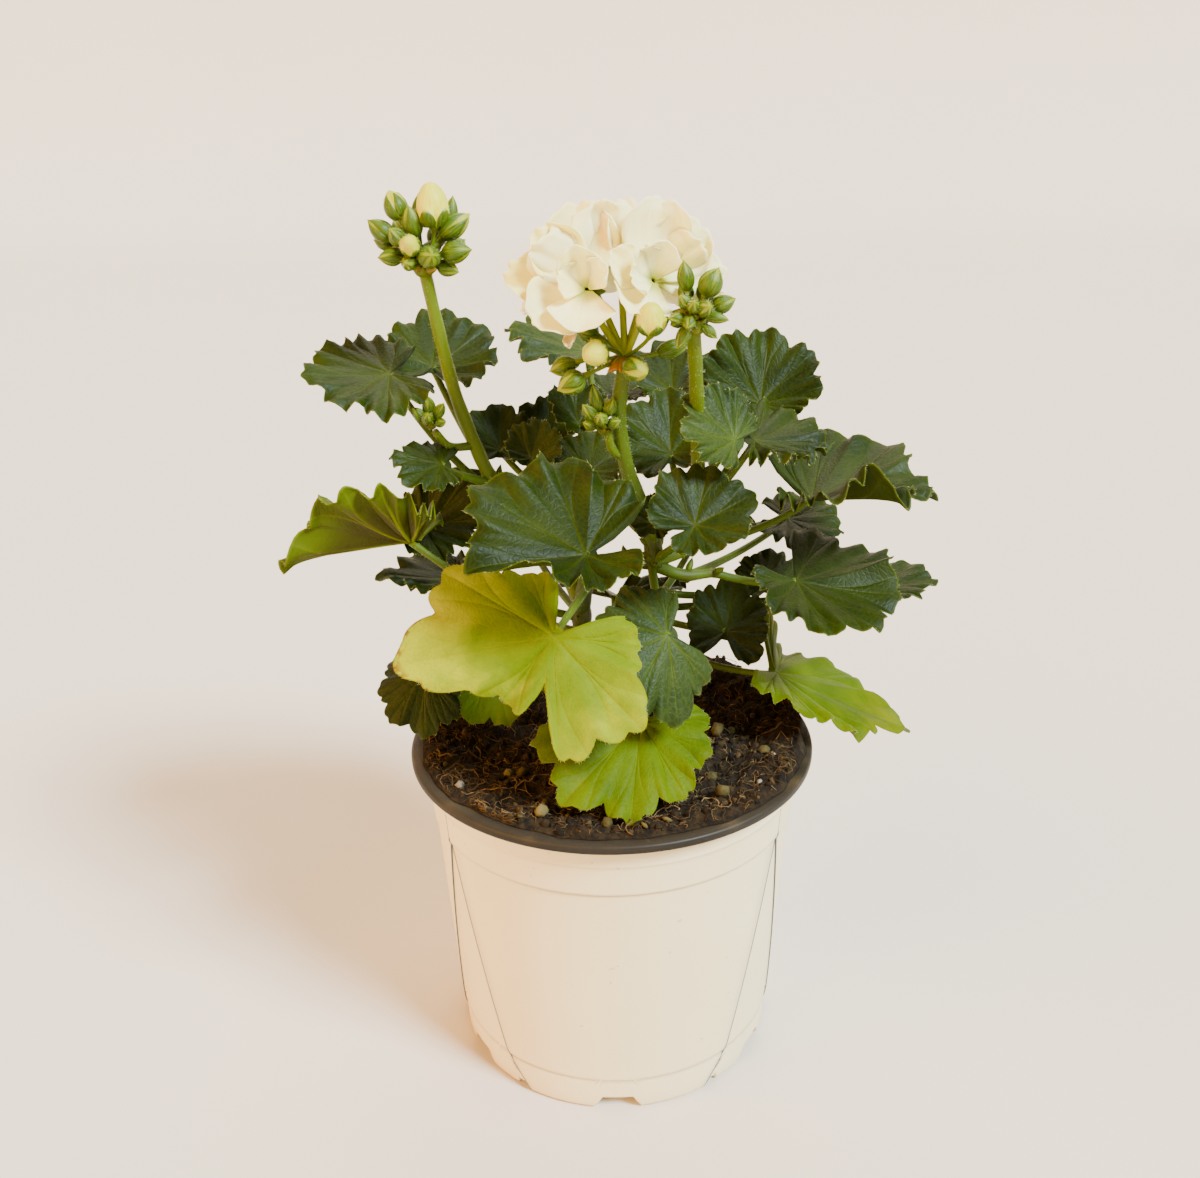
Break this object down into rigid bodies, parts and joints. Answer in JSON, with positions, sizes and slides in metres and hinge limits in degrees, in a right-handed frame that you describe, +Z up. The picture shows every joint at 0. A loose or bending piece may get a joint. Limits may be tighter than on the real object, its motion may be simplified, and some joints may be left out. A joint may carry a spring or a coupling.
{
  "type": "potted pelargonium",
  "caption": "White-flowered pelargonium with scalloped green and yellowing leaves, bud heads and a double umbel, in a small round white nursery pot of peat.",
  "frame": {"origin": "centre of the pot's foot, on the surface that the pot stands on", "axes": "+Z up along the pot's axis, the viewer of the picture stands at -Y, +X is to that viewer's right"},
  "size_m": [0.1911, 0.1373, 0.259],
  "materials": {
    "pot": "satin",
    "soil": "matte",
    "stem": "satin",
    "leaf_green": "satin",
    "leaf_grey": "satin",
    "leaf_lime": "satin",
    "leaf_yellow": "satin",
    "leaf_olive": "satin",
    "petal": "matte",
    "bud": "satin"
  },
  "bodies": {
    "root": {"pot": "pot", "soil": "soil", "stem": "stem", "leaf_yellow_front": "leaf_yellow", "leaf_lime_front": "leaf_lime", "leaf_centre_low": "leaf_grey", "leaf_centre_big": "leaf_green", "leaf_left_folded": "leaf_olive", "leaf_left_inner": "leaf_green", "leaf_left_high": "leaf_green", "leaf_left_back": "leaf_green", "leaf_left_young": "leaf_green", "leaf_right_fan": "leaf_green", "leaf_right_grey": "leaf_grey", "leaf_right_crinkled": "leaf_green", "leaf_right_large": "leaf_green", "leaf_centre_small": "leaf_green", "leaf_right_low": "leaf_green", "leaf_right_far": "leaf_green", "leaf_right_dark": "leaf_green", "leaf_lime_right": "leaf_lime", "leaf_mid_dark": "leaf_green", "leaf_top_back": "leaf_grey", "leaf_mid_upright": "leaf_green", "leaf_back_left_a": "leaf_green", "leaf_back_left_b": "leaf_green", "leaf_back_left_c": "leaf_green", "leaf_centre_back": "leaf_green", "leaf_low_left": "leaf_green", "leaf_low_left_olive": "leaf_lime", "leaf_left_under": "leaf_green", "leaf_right_behind": "leaf_green", "leaf_top_mid_back": "leaf_green", "leaf_right_mid_back": "leaf_grey", "leaf_shoot": "leaf_green", "leaf_rear_left": "leaf_green", "leaf_rear_centre": "leaf_green", "leaf_rear_right": "leaf_green", "leaf_rear_low_left": "leaf_lime", "leaf_rear_low": "leaf_green", "leaf_rear_high": "leaf_green", "bud_head_left": "bud", "bud_head_right": "bud", "bud_head_young_left": "bud", "bud_head_young_centre": "bud", "umbel_green": "bud", "umbel_petals": "petal"}
  },
  "joints": []
}
